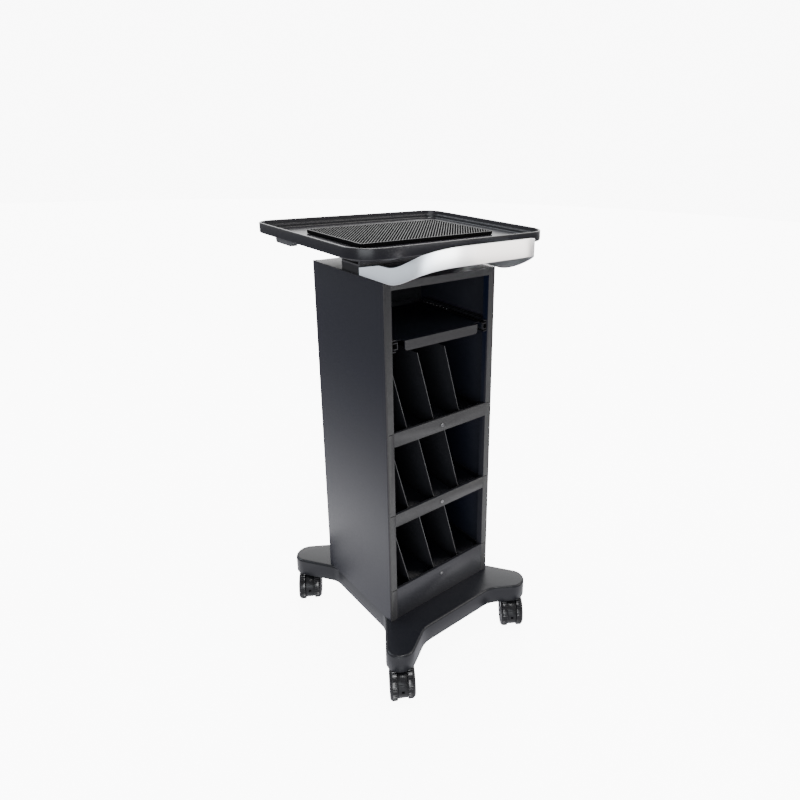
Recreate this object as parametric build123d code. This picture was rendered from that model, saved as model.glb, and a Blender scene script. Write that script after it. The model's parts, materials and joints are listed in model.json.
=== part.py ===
from build123d import *
import os
from math import cos, radians, sin, tan

# Salon colour trolley: four-lobed base on twin-wheel casters, open sheet-metal cabinet with
# leaning dividers and a pull-out shelf, and a wide tray with a bow handle above it.
# Millimetres. Z is up, the floor is Z = 0, the open front faces -Y.
# Everything is drawn round the cabinet's own centre line, then moved back by FRAME_SHIFT
# so that the origin is the middle of the whole trolley's footprint.

# Overall sizes
CABINET_W, CABINET_D, CABINET_H = 250.0, 238.0, 679.0
BASE_BOTTOM, BASE_THICK = 65.5, 36.5
CABINET_BOTTOM = BASE_BOTTOM + BASE_THICK
CABINET_TOP = CABINET_BOTTOM + CABINET_H
SHEET = 1.5
THIN = 1.2
TOUCH_GAP = 0.1

HALF_W = CABINET_W / 2
HALF_D = CABINET_D / 2
INNER_W = HALF_W - SHEET
FRONT, BACK = -HALF_D, HALF_D

# Front frame of the cabinet
STILE_W, HEADER_H, RETURN_D = 16.0, 14.0, 15.0
OPENING_HALF = HALF_W - STILE_W
REAR_FLANGE = 12.0
SLOT_LENGTH, SLOT_HEIGHT = 10.5, 1.2
RAIL_TOPS = {"shelf_upper": 505.4, "shelf_middle": 337.8, "shelf_bottom": 171.3}
RAIL_HEIGHTS = {"shelf_upper": 27.4, "shelf_middle": 26.1, "shelf_bottom": 69.3}
FLOOR_DROPS = {"shelf_upper": 27.4, "shelf_middle": 26.1, "shelf_bottom": 27.0}
HEM_DEPTH, SHELF_FLANGE, FLANGE_SETBACK = 6.0, 12.0, 5.0

# Leaning dividers, three to a bay
DIVIDER_LEAN = 14.5
DIVIDER_FEET_X = (-66.1, -5.1, 56.9)
DIVIDER_RISE, DIVIDER_FOOT = 162.0, 12.0
DIVIDER_FRONT, DIVIDER_BACK = -104.0, 100.0

# Pull-out shelf and its ball slides
SLIDE_Z, SLIDE_FRONT, SLIDE_LENGTH = 668.0, -117.0, 200.0
SLIDE_OUTER_HALF, SLIDE_INNER_HALF = 11.0, 6.2
SLIDE_OUTER_X, SLIDE_INNER_X = 108.8, 97.3
OUTER_LIP_X, INNER_LIP_X, SPACER_SETBACK = 100.5, 106.1, 1.0
BALL_R, BALL_PITCH, BALL_COUNT = 1.7, 11.0, 8
BALL_X, BALL_Z_OFFSET, CAGE_BACK = 103.5, 8.0, 82.0
CAGE_X, CAGE_T, CAGE_LIP, BALL_CLEAR = 106.5, 0.6, 2.6, 0.05
PULL_TOP, PULL_BACK = 675.0, 80.0
LIP_HALF_W, LIP_H, LIP_T, LIP_CORNER = 83.0, 18.6, 2.0, 6.0
NOTCH_GAP, NOTCH_DEPTH, STOP_INSET, STOP_H = 1.0, 8.0, 20.0, 8.0

# Four-lobed base: each arm runs from a wide root circle to a narrow tip circle
LOBE_X, LOBE_Y, LOBE_R = 143.5, 180.0, 28.5
ROOT_X, ROOT_Y, ROOT_R = 73.4, 108.7, 48.9
WAIST_X, WAIST_Y, WAIST_FILLET = 122.3, 174.8, 42.0
BASE_FILLET, BASE_WALL, BOSS_R, BOTTOM_PLATE = 5.0, 3.0, 14.0, 2.0

# Twin-wheel casters: name -> (pivot x, pivot y, heading from pivot to axle in degrees)
CASTERS = {
    "front_left": (-LOBE_X, -LOBE_Y, -120.0),
    "front_right": (LOBE_X, -LOBE_Y, -126.0),
    "back_left": (-LOBE_X, LOBE_Y, -121.0),
    "back_right": (LOBE_X, LOBE_Y, -124.0),
}
WHEEL_R, WHEEL_W, WHEEL_INNER, TRAIL = 31.0, 14.2, 9.4, 15.0
WHEEL_EDGE, WHEEL_SHOULDER, DISH_R, DISH_DEPTH, HUB_R, CAP_T = 1.2, 4.0, 22.0, 2.0, 8.0, 0.6
AXLE_R, AXLE_HALF, STEM_R, RUN_CLEAR = 4.0, 22.4, 5.5, 0.06
HOOD_HALF, HOOD_R, HOOD_BOSS_R, HOOD_CLEAR = 8.8, 28.0, 13.0, 0.4
SEAM_DEPTH, SEAM_H, SEAM_ANGLE = 1.2, 1.0, 32.0
PORT_W, PORT_DEPTH, PORT_ANGLE = 5.0, 5.0, 3.0
STEM_COLLAR_R, STEM_COLLAR_T, STEM_DOWN, STEM_UP = 11.0, 2.0, 24.0, 24.0

# Tray, mat, pedestal and handle
TRAY_W, TRAY_D, FRONT_CORNER, BACK_CORNER = 411.0, 363.4, 48.0, 32.0
TRAY_BOTTOM, TRAY_FLOOR, TRAY_TOP = 833.0, 836.0, 852.0
TRAY_LEDGE_Z, RIM_T, LEDGE_T, RIM_CHAMFER, TRAY_BOTTOM_R = 843.5, 3.6, 8.5, 1.0, 3.0
SKIRT_BOTTOM, SKIRT_INSET, SKIRT_T = 829.0, 14.0, 3.0
MAT_W, MAT_D, MAT_T, MAT_Y, MAT_CORNER = 290.0, 188.0, 7.0, 5.0, 7.0
MAT_BORDER, MAT_BORDER_H = 4.0, 0.8
PEDESTAL_FRONT, PEDESTAL_BACK, PEDESTAL_HALF, BEAM_H = -42.0, 16.0, 121.5, 15.0
PEDESTAL_WALL, PLATE_W, PLATE_D, PLATE_CORNER = 3.0, 240.0, 150.0, 12.0
TAB_Y, TAB_LENGTH, TAB_INSET, TAB_H, TAB_R = 67.0, 60.0, 3.0, 8.0, 5.0
HANDLE_HALF, HANDLE_FRONT, HANDLE_CORNER, HANDLE_T = 124.7, -265.0, 83.0, 3.0
HANDLE_H, HANDLE_FOOT, HANDLE_RISE = 30.6, 0.8, 48.9
RISE_START, RISE_END = -129.5, -281.7
LEG_END_H, KNEE_Y, KNEE_H, EAR_LENGTH, EAR_SCREW_IN = 12.5, -108.0, 27.5, 28.0, 8.0
LEG_STATIONS = {-150.0: 28.6, -182.0: 29.6, -215.0: 30.6, -250.0: 30.6}

# Button-head screws
SCREW_HEAD_R, SCREW_HEAD_T, SCREW_SHANK_R, SCREW_SHANK_L = 3.6, 2.0, 1.9, 9.0
SCREW_DOME, SOCKET_R, SOCKET_DEPTH, SCREW_HOLE_R = 1.2, 1.6, 1.0, 2.0
RAIL_SCREW_OFFSET, KICK_SCREW_DROP = 1.5, 18.0

FRAME_SHIFT = -(HANDLE_FRONT + LOBE_Y + LOBE_R) / 2


def block(x0, x1, y0, y1, z0, z1):
    """Axis-aligned box from its six limits, in either order along each axis."""
    size = (abs(x1 - x0), abs(y1 - y0), abs(z1 - z0))
    return Pos((x0 + x1) / 2, (y0 + y1) / 2, (z0 + z1) / 2) * Box(*size)


def rounded_plate(width, depth, corner, z0, z1, y=0.0):
    """Flat plate with round corners in plan, from z0 up to z1."""
    return Pos(0, y, z0) * extrude(RectangleRounded(width, depth, corner), z1 - z0)


def screw_along_y(x, y, z):
    """Button-head screw, head towards -Y with its seat at y."""
    head = Cylinder(SCREW_HEAD_R, SCREW_HEAD_T, align=(Align.CENTER, Align.CENTER, Align.MIN))
    shank = Pos(0, 0, -SCREW_SHANK_L) * Cylinder(
        SCREW_SHANK_R, SCREW_SHANK_L, align=(Align.CENTER, Align.CENTER, Align.MIN))
    socket = Pos(0, 0, SCREW_HEAD_T - SOCKET_DEPTH) * extrude(
        RegularPolygon(SOCKET_R, 6), SOCKET_DEPTH)
    head = fillet(head.edges().filter_by(GeomType.CIRCLE).group_by(Axis.Z)[-1], SCREW_DOME)
    return Pos(x, y, z) * Rot(90, 0, 0) * (head - socket + shank)


# ---------------------------------------------------------------- base and casters

def base_outline(inset=0.0):
    """Plan of the base: a straight-sided middle with a round-ended arm to each caster."""
    body = Rectangle(2 * WAIST_X, 2 * WAIST_Y)
    for sx in (-1, 1):
        for sy in (-1, 1):
            tip = Pos(sx * LOBE_X, sy * LOBE_Y) * Circle(LOBE_R)
            root = Pos(sx * ROOT_X, sy * ROOT_Y) * Circle(ROOT_R)
            body += make_hull([*tip.edges(), *root.edges()])
    corners = body.vertices().filter_by(
        lambda v: abs(abs(v.X) - WAIST_X) < 0.01 or abs(abs(v.Y) - WAIST_Y) < 0.01)
    outline = fillet(corners, WAIST_FILLET)
    return offset(outline, -inset) if inset else outline


def base_shell():
    body = Pos(0, 0, BASE_BOTTOM) * extrude(base_outline(), BASE_THICK)
    body = fillet(body.faces().sort_by(Axis.Z)[-1].edges(), BASE_FILLET)
    body -= Pos(0, 0, BASE_BOTTOM) * extrude(base_outline(BASE_WALL), BASE_THICK - BASE_WALL)
    for x, y, _ in CASTERS.values():
        body += Pos(x, y, BASE_BOTTOM) * Cylinder(
            BOSS_R, BASE_THICK - BASE_WALL, align=(Align.CENTER, Align.CENTER, Align.MIN))
        body -= Pos(x, y, BASE_BOTTOM) * Cylinder(
            STEM_R, STEM_UP, align=(Align.CENTER, Align.CENTER, Align.MIN))
    return body


def base_bottom_plate():
    plate = extrude(base_outline(BASE_WALL + TOUCH_GAP), BOTTOM_PLATE)
    for x, y, _ in CASTERS.values():
        plate -= Pos(x, y, 0) * Cylinder(BOSS_R + TOUCH_GAP, 3 * BOTTOM_PLATE)
    return Pos(0, 0, BASE_BOTTOM) * plate


def at_caster(shape, place):
    """Move a shape drawn with its axle trailing along -Y to a caster's pivot and heading."""
    x, y, heading = place
    return Pos(x, y, 0) * Rot(0, 0, heading + 90) * shape


def caster_stem():
    collar = Pos(0, 0, BASE_BOTTOM - STEM_COLLAR_T) * Cylinder(
        STEM_COLLAR_R, STEM_COLLAR_T, align=(Align.CENTER, Align.CENTER, Align.MIN))
    pin = Pos(0, 0, BASE_BOTTOM - STEM_DOWN) * Cylinder(
        STEM_R, STEM_DOWN + STEM_UP, align=(Align.CENTER, Align.CENTER, Align.MIN))
    return collar + pin


def on_hood(shape, angle):
    """Turn a shape drawn at the rear face up round the axle by an angle in degrees."""
    return Pos(0, -TRAIL, WHEEL_R) * Rot(-angle, 0, 0) * shape


def caster_hood():
    """Drum between the wheels with the swivel boss, a seam and a square port at the rear."""
    web = Pos(0, -TRAIL, WHEEL_R) * Rot(0, 90, 0) * Cylinder(HOOD_R, 2 * HOOD_HALF)
    boss_top = BASE_BOTTOM - STEM_COLLAR_T - HOOD_CLEAR
    boss = Pos(0, 0, WHEEL_R) * Cylinder(
        HOOD_BOSS_R, boss_top - WHEEL_R, align=(Align.CENTER, Align.CENTER, Align.MIN))
    boss &= block(-HOOD_HALF, HOOD_HALF, -HOOD_R, HOOD_R, 0, BASE_BOTTOM)
    rear = -HOOD_R
    seam = block(-HOOD_HALF, HOOD_HALF, rear - 1, rear + SEAM_DEPTH, -SEAM_H / 2, SEAM_H / 2)
    port = block(-PORT_W / 2, PORT_W / 2, rear - 1, rear + PORT_DEPTH, -PORT_W / 2, PORT_W / 2)
    body = web + boss - on_hood(seam, SEAM_ANGLE) - on_hood(port, PORT_ANGLE)
    body -= Pos(0, 0, BASE_BOTTOM - STEM_DOWN - RUN_CLEAR) * Cylinder(
        STEM_R + RUN_CLEAR, 2 * STEM_DOWN, align=(Align.CENTER, Align.CENTER, Align.MIN))
    body -= Pos(0, -TRAIL, WHEEL_R) * Rot(0, 90, 0) * Cylinder(AXLE_R, 4 * HOOD_HALF)
    return body


def caster_axle():
    return Pos(0, -TRAIL, WHEEL_R) * Rot(0, 90, 0) * Cylinder(AXLE_R, 2 * AXLE_HALF)


def caster_wheel(side):
    """One wheel of a pair: crowned tread, dished outer face and a hub cap over the axle end."""
    inner, outer = WHEEL_INNER, WHEEL_INNER + WHEEL_W
    tread = Polyline(
        (0, inner), (WHEEL_R - WHEEL_EDGE, inner), (WHEEL_R, inner + WHEEL_EDGE),
        (WHEEL_R, outer - WHEEL_SHOULDER), (WHEEL_R - WHEEL_SHOULDER, outer),
        (DISH_R + DISH_DEPTH, outer), (DISH_R, outer - DISH_DEPTH),
        (HUB_R + CAP_T, outer - DISH_DEPTH), (HUB_R, outer), (0, outer), (0, inner))
    wheel = revolve(Plane.XZ * make_face(tread), Axis.Z)
    wheel -= Cylinder(AXLE_R + RUN_CLEAR, AXLE_HALF + RUN_CLEAR,
                      align=(Align.CENTER, Align.CENTER, Align.MIN))
    return Pos(0, -TRAIL, WHEEL_R) * Rot(0, 90 * side, 0) * wheel


# ---------------------------------------------------------------- cabinet

def side_panel(side):
    """Folded side sheet: front stile with its inward return, and a rear flange."""
    x = side * HALF_W
    panel = block(x, side * INNER_W, FRONT, BACK, CABINET_BOTTOM, CABINET_TOP)
    panel += block(x, side * OPENING_HALF, FRONT, FRONT + SHEET, CABINET_BOTTOM, CABINET_TOP)
    panel += block(side * OPENING_HALF, side * (OPENING_HALF + SHEET), FRONT, FRONT + RETURN_D,
                   CABINET_BOTTOM + SHEET, CABINET_TOP - SHEET)
    panel += block(x, side * (HALF_W - REAR_FLANGE), BACK - SHEET, BACK,
                   CABINET_BOTTOM, CABINET_TOP)
    for top in RAIL_TOPS.values():
        panel -= block(side * OPENING_HALF, side * (OPENING_HALF + SLOT_LENGTH),
                       FRONT, FRONT + SHEET, top - SLOT_HEIGHT, top)
    return panel


def top_panel():
    """Roof sheet with the header folded down across the front opening."""
    roof = block(-INNER_W, INNER_W, FRONT + SHEET, BACK - SHEET, CABINET_TOP - SHEET, CABINET_TOP)
    half = OPENING_HALF - TOUCH_GAP
    return roof + block(-half, half, FRONT, FRONT + SHEET, CABINET_TOP - HEADER_H, CABINET_TOP)


def back_panel():
    return block(-INNER_W, INNER_W, BACK - 2 * SHEET, BACK - SHEET,
                 CABINET_BOTTOM + SHEET, CABINET_TOP - SHEET)


def cabinet_floor():
    inner = OPENING_HALF - TOUCH_GAP
    plate = block(-INNER_W, INNER_W, FRONT + SHEET, BACK - SHEET,
                  CABINET_BOTTOM, CABINET_BOTTOM + SHEET)
    hem = block(-inner, inner, FRONT + 2 * SHEET, FRONT + 3 * SHEET,
                CABINET_BOTTOM + SHEET, CABINET_BOTTOM + SHELF_FLANGE)
    return plate + hem


def shelf(name):
    """Shelf floor with the front rail that holds the tubes in, a hem and two side flanges."""
    top = RAIL_TOPS[name]
    floor_z = top - FLOOR_DROPS[name]
    rail_half = OPENING_HALF - TOUCH_GAP
    wide = INNER_W - TOUCH_GAP
    rear = BACK - 2 * SHEET - TOUCH_GAP
    tray = block(-rail_half, rail_half, FRONT, FRONT + SHEET, top - RAIL_HEIGHTS[name], top)
    tray += block(-rail_half, rail_half, FRONT + SHEET, FRONT + HEM_DEPTH, top - THIN, top)
    tray += block(-rail_half, rail_half, FRONT + SHEET, FRONT + RETURN_D + TOUCH_GAP,
                  floor_z, floor_z + THIN)
    tray += block(-wide, wide, FRONT + RETURN_D + TOUCH_GAP, rear, floor_z, floor_z + THIN)
    for side in (-1, 1):
        tray += block(side * wide, side * (wide - THIN), FRONT + RETURN_D + FLANGE_SETBACK, rear,
                      floor_z + THIN, floor_z + SHELF_FLANGE)
    tray -= Pos(0, FRONT, screw_height(name)) * Rot(90, 0, 0) * Cylinder(SCREW_HOLE_R, HEM_DEPTH)
    return tray


def screw_height(name):
    """Just under the middle of a narrow rail, or near the top of the tall kick panel."""
    if name == "shelf_bottom":
        return RAIL_TOPS[name] - KICK_SCREW_DROP
    return RAIL_TOPS[name] - RAIL_HEIGHTS[name] / 2 - RAIL_SCREW_OFFSET


def rail_screws():
    return [screw_along_y(0, FRONT, screw_height(name)) for name in RAIL_TOPS]


def divider(shelf_name, foot_x):
    """Thin leaning sheet with a foot folded flat on the shelf floor."""
    floor_z = RAIL_TOPS[shelf_name] - FLOOR_DROPS[shelf_name] + THIN
    lean = DIVIDER_RISE * tan(radians(DIVIDER_LEAN))
    width = THIN / cos(radians(DIVIDER_LEAN))
    outline = Polyline((foot_x, floor_z), (foot_x + width, floor_z),
                       (foot_x + width - lean, floor_z + DIVIDER_RISE),
                       (foot_x - lean, floor_z + DIVIDER_RISE), (foot_x, floor_z))
    length = DIVIDER_BACK - DIVIDER_FRONT
    sheet = Pos(0, DIVIDER_BACK, 0) * extrude(Plane.XZ * make_face(outline), length)
    foot = block(foot_x, foot_x + DIVIDER_FOOT, DIVIDER_FRONT, DIVIDER_BACK, floor_z,
                 floor_z + THIN)
    return sheet + foot


# ---------------------------------------------------------------- pull-out shelf

def channel(side, outer_x, inner_x, half, front, length, web_outside):
    """C-section slide member lying along Y, its web on the outer or the inner side."""
    web_x = outer_x if web_outside else inner_x
    web_in = web_x - THIN if web_outside else web_x + THIN
    y0, y1 = front, front + length
    member = block(side * web_x, side * web_in, y0, y1, SLIDE_Z - half, SLIDE_Z + half)
    for up in (-1, 1):
        member += block(side * inner_x, side * outer_x, y0, y1,
                        SLIDE_Z + up * half, SLIDE_Z + up * (half - THIN))
    return member


def slide_outer(side):
    return channel(side, SLIDE_OUTER_X, OUTER_LIP_X, SLIDE_OUTER_HALF,
                   SLIDE_FRONT, SLIDE_LENGTH, True)


def slide_inner(side):
    return channel(side, INNER_LIP_X, SLIDE_INNER_X, SLIDE_INNER_HALF,
                   SLIDE_FRONT - 1, SLIDE_LENGTH, False)


def slide_spacer(side):
    """Rail between the side panel and the slide, behind the stile's return."""
    return block(side * (INNER_W - TOUCH_GAP), side * SLIDE_OUTER_X,
                 FRONT + RETURN_D + SPACER_SETBACK, SLIDE_FRONT + SLIDE_LENGTH,
                 SLIDE_Z - SLIDE_OUTER_HALF, SLIDE_Z + SLIDE_OUTER_HALF)


def ball_places(side):
    """Centres of the two rows of balls in one slide."""
    front = CAGE_BACK - BALL_COUNT * BALL_PITCH
    return [(side * BALL_X, front + (i + 0.5) * BALL_PITCH, SLIDE_Z + up * BALL_Z_OFFSET)
            for up in (-1, 1) for i in range(BALL_COUNT)]


def balls(side):
    return [Pos(*place) * Sphere(BALL_R) for place in ball_places(side)]


def ball_cage(side):
    """Retainer strip with two flanges, pierced for the balls."""
    front = CAGE_BACK - BALL_COUNT * BALL_PITCH
    reach = BALL_Z_OFFSET + CAGE_T / 2
    back_x = CAGE_X + CAGE_T
    cage = block(side * CAGE_X, side * back_x, front, CAGE_BACK, SLIDE_Z - reach, SLIDE_Z + reach)
    for up in (-1, 1):
        cage += block(side * (BALL_X - CAGE_LIP), side * back_x, front, CAGE_BACK,
                      SLIDE_Z + up * reach, SLIDE_Z + up * (reach - CAGE_T))
    for place in ball_places(side):
        cage -= Pos(*place) * Cylinder(BALL_R + BALL_CLEAR, 2 * BALL_R + CAGE_T)
    return cage


def pull_shelf():
    """Sheet shelf hung between the inner slide members, with a round-cornered front lip."""
    half = SLIDE_INNER_X - TOUCH_GAP
    plate = block(-half, half, SLIDE_FRONT, PULL_BACK, PULL_TOP - THIN, PULL_TOP)
    for side in (-1, 1):
        plate += block(side * half, side * (half - THIN), SLIDE_FRONT + 1, PULL_BACK,
                       SLIDE_Z - SLIDE_INNER_HALF, PULL_TOP - THIN)
        plate -= block(side * (LIP_HALF_W + NOTCH_GAP), side * (half - THIN), SLIDE_FRONT - 1,
                       SLIDE_FRONT + NOTCH_DEPTH, PULL_TOP - 2 * THIN, PULL_TOP + THIN)
    plate += block(-half + STOP_INSET, half - STOP_INSET, PULL_BACK - THIN, PULL_BACK,
                   PULL_TOP, PULL_TOP + STOP_H)
    lip = Plane.XZ * Rectangle(2 * LIP_HALF_W, LIP_H)
    lip = Pos(0, FRONT + LIP_T, PULL_TOP - LIP_H / 2) * extrude(lip, LIP_T)
    lower = lip.edges().filter_by(Axis.Y).group_by(Axis.Z)[0]
    return plate + fillet(lower, LIP_CORNER)


# ---------------------------------------------------------------- top

def ear_screw_place(side):
    """Axis of a handle screw: where it crosses the beam's front face."""
    return (side * (HANDLE_HALF - EAR_LENGTH + EAR_SCREW_IN), PEDESTAL_FRONT,
            CABINET_TOP + HANDLE_FOOT + LEG_END_H / 2)


def ear_screw_hole(side):
    return Pos(*ear_screw_place(side)) * Rot(90, 0, 0) * Cylinder(SCREW_HOLE_R, 3 * SCREW_SHANK_L)


def pedestal_beam():
    """Flat beam across the cabinet roof that carries the tray and the handle."""
    beam = block(-PEDESTAL_HALF, PEDESTAL_HALF, PEDESTAL_FRONT, PEDESTAL_BACK,
                 CABINET_TOP, CABINET_TOP + BEAM_H)
    return beam - ear_screw_hole(-1) - ear_screw_hole(1)


def pedestal_tube():
    """Open-ended box section on the beam with the mounting plate on top of it."""
    z0, z1 = CABINET_TOP + BEAM_H, SKIRT_BOTTOM
    wall = PEDESTAL_WALL
    tube = block(-PEDESTAL_HALF, PEDESTAL_HALF, PEDESTAL_FRONT, PEDESTAL_BACK, z0, z1)
    return tube - block(-HALF_W, HALF_W, PEDESTAL_FRONT + wall, PEDESTAL_BACK - wall,
                        z0 + wall, z1 - wall)


def mounting_plate():
    middle = (PEDESTAL_FRONT + PEDESTAL_BACK) / 2
    return rounded_plate(PLATE_W, PLATE_D, PLATE_CORNER, SKIRT_BOTTOM, TRAY_BOTTOM, middle)


def tray_slab(inset, z0, z1):
    """Slab of the tray's plan, drawn in by inset: rounder corners in front than at the back."""
    plan = Rectangle(TRAY_W - 2 * inset, TRAY_D - 2 * inset)
    plan = fillet(plan.vertices().group_by(Axis.Y)[0], FRONT_CORNER - inset)
    plan = fillet(plan.vertices().sort_by(Axis.Y)[-2:], BACK_CORNER - inset)
    return Pos(0, 0, z0) * extrude(plan, z1 - z0)


def tray():
    """Shallow tray: upright rim with a ledge inside, and a lower skirt below the floor."""
    body = tray_slab(0, TRAY_BOTTOM, TRAY_TOP)
    body = chamfer(body.faces().sort_by(Axis.Z)[-1].edges(), RIM_CHAMFER)
    body = fillet(body.faces().sort_by(Axis.Z)[0].edges(), TRAY_BOTTOM_R)
    body -= tray_slab(RIM_T, TRAY_LEDGE_Z, TRAY_TOP + 1)
    body -= tray_slab(LEDGE_T, TRAY_FLOOR, TRAY_TOP)
    skirt = tray_slab(SKIRT_INSET, SKIRT_BOTTOM, TRAY_BOTTOM)
    return body + (skirt - tray_slab(SKIRT_INSET + SKIRT_T, SKIRT_BOTTOM, TRAY_BOTTOM))


def tray_mat():
    """Rubber mat lying on the tray floor, with a raised border."""
    body = rounded_plate(MAT_W, MAT_D, MAT_CORNER, TRAY_FLOOR, TRAY_FLOOR + MAT_T, MAT_Y)
    return body - rounded_plate(MAT_W - 2 * MAT_BORDER, MAT_D - 2 * MAT_BORDER,
                                MAT_CORNER - MAT_BORDER, TRAY_FLOOR + MAT_T - MAT_BORDER_H,
                                TRAY_FLOOR + MAT_T + 1, MAT_Y)


def rim_tab(side):
    """Finger tab under the tray's side rim."""
    outer = side * (TRAY_W / 2 - TAB_INSET)
    inner = side * (TRAY_W / 2 - SKIRT_INSET + TOUCH_GAP)
    tab = block(outer, inner, TAB_Y - TAB_LENGTH / 2, TAB_Y + TAB_LENGTH / 2,
                TRAY_BOTTOM - TAB_H, TRAY_BOTTOM)
    return fillet(tab.edges().filter_by(Axis.X).group_by(Axis.Z)[0], TAB_R)


def handle_plan(inset):
    """Closed plan of the bow, running back to the beam."""
    half, front = HANDLE_HALF - inset, HANDLE_FRONT + inset
    depth = PEDESTAL_FRONT - front
    outline = Pos(0, front + depth / 2) * Rectangle(2 * half, depth)
    return fillet(outline.vertices().group_by(Axis.Y)[0], HANDLE_CORNER - inset)


def rise_z(y):
    """Height of the band's lower edge: level along the legs, then a smooth rise forward."""
    part = min(max((y - RISE_START) / (RISE_END - RISE_START), 0), 1)
    return CABINET_TOP + HANDLE_FOOT + HANDLE_RISE * part * part * (3 - 2 * part)


def handle_side_face():
    """Side view of the band; its legs grow narrower towards the beam."""
    z0, z1 = rise_z(0), rise_z(RISE_END)
    third = (RISE_END - RISE_START) / 3
    lower = Line((PEDESTAL_FRONT, z0), (RISE_START, z0))
    lower += Bezier((RISE_START, z0), (RISE_START + third, z0), (RISE_END - third, z1),
                    (RISE_END, z1))
    crest = [(KNEE_Y, z0 + KNEE_H)]
    crest += [(y, rise_z(y) + height) for y, height in LEG_STATIONS.items()]
    crest += [(RISE_END, z1 + HANDLE_H)]
    upper = Spline(*crest) + Line(crest[0], (PEDESTAL_FRONT, z0 + LEG_END_H))
    ends = Line((RISE_END, z1), (RISE_END, z1 + HANDLE_H))
    ends += Line((PEDESTAL_FRONT, z0 + LEG_END_H), (PEDESTAL_FRONT, z0))
    return make_face((lower + upper + ends).edges())


def handle():
    """Bow handle bent from flat bar, with an ear at each end screwed to the beam."""
    reach = 4 * HANDLE_RISE
    band = extrude(handle_plan(0) - handle_plan(HANDLE_T), reach)
    band = Pos(0, 0, CABINET_TOP - HANDLE_RISE) * band
    inner_half = HANDLE_HALF - HANDLE_T
    band -= block(-inner_half, inner_half, PEDESTAL_FRONT - HANDLE_T - TOUCH_GAP,
                  PEDESTAL_FRONT + 1, 0, CABINET_TOP + reach)
    side = extrude(Plane.YZ * handle_side_face(), 3 * HANDLE_HALF)
    bow = band & (Pos(-1.5 * HANDLE_HALF, 0, 0) * side)
    for s in (-1, 1):
        bow += block(s * HANDLE_HALF, s * (HANDLE_HALF - EAR_LENGTH), PEDESTAL_FRONT - HANDLE_T,
                     PEDESTAL_FRONT, CABINET_TOP + HANDLE_FOOT,
                     CABINET_TOP + HANDLE_FOOT + LEG_END_H)
        bow -= ear_screw_hole(s)
    return bow


def handle_screws():
    places = [ear_screw_place(side) for side in (-1, 1)]
    return [screw_along_y(x, y - HANDLE_T, z) for x, y, z in places]


def write(name, shape):
    """Export one node, moved so that the origin is the middle of the footprint."""
    solids = shape if isinstance(shape, list) else [shape]
    moved = [Pos(0, FRAME_SHIFT, 0) * solid for solid in solids]
    export_step(moved[0] if len(moved) == 1 else Compound(children=moved), f"parts/{name}.step")


def main():
    os.makedirs("parts", exist_ok=True)
    write("base_shell", base_shell())
    write("base_bottom_plate", base_bottom_plate())
    for name, place in CASTERS.items():
        write(f"stem_{name}", at_caster(caster_stem(), place))
        write(f"hood_{name}", at_caster(caster_hood(), place))
        write(f"axle_{name}", at_caster(caster_axle(), place))
        write(f"wheel_{name}_a", at_caster(caster_wheel(-1), place))
        write(f"wheel_{name}_b", at_caster(caster_wheel(1), place))
    for label, side in (("left", -1), ("right", 1)):
        write(f"side_panel_{label}", side_panel(side))
        write(f"slide_spacer_{label}", slide_spacer(side))
        write(f"slide_outer_{label}", slide_outer(side))
        write(f"ball_cage_{label}", ball_cage(side))
        write(f"balls_{label}", balls(side))
        write(f"slide_inner_{label}", slide_inner(side))
    write("top_panel", top_panel())
    write("back_panel", back_panel())
    write("cabinet_floor", cabinet_floor())
    for name in RAIL_TOPS:
        write(name, shelf(name))
        for i, foot_x in enumerate(DIVIDER_FEET_X, 1):
            write(f"divider_{name.split('_')[1]}_{i}", divider(name, foot_x))
    write("rail_screws", rail_screws())
    write("pull_shelf", pull_shelf())
    write("pedestal_beam", pedestal_beam())
    write("pedestal_tube", pedestal_tube())
    write("mounting_plate", mounting_plate())
    write("tray", tray())
    write("tray_mat", tray_mat())
    write("rim_tabs", [rim_tab(-1), rim_tab(1)])
    write("handle", handle())
    write("handle_screws", handle_screws())


main()
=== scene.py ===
import json
import math

import bmesh
import bpy
from mathutils import Matrix, Vector


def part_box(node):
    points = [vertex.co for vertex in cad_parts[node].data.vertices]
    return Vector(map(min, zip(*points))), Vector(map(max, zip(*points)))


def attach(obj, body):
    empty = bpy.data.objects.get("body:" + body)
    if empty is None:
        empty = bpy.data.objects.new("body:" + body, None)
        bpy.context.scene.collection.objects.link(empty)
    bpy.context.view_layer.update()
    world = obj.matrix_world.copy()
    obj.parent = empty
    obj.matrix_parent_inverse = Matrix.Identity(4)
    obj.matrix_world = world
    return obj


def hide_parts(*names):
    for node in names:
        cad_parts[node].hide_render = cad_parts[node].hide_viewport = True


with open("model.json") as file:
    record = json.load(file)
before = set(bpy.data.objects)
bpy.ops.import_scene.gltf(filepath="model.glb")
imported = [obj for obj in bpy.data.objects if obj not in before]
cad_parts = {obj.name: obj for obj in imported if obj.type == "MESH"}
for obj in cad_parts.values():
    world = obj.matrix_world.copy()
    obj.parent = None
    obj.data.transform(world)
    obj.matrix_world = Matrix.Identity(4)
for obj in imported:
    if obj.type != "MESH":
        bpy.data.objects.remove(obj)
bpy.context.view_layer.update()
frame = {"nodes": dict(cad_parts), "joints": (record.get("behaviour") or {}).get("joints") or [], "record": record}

MM = 0.001
RECORD = frame["record"]
BODY_OF = {name: body for body, names in RECORD["behaviour"]["bodies"].items() for name in names}
SLOT_OF = {part["node"]: part["material_slot"] for part in RECORD["subparts"]}
CASTERS = ("front_left", "front_right", "back_left", "back_right")
SHELVES = ("shelf_upper", "shelf_middle", "shelf_bottom")


# ---------------------------------------------------------------- camera, light and floor

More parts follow.
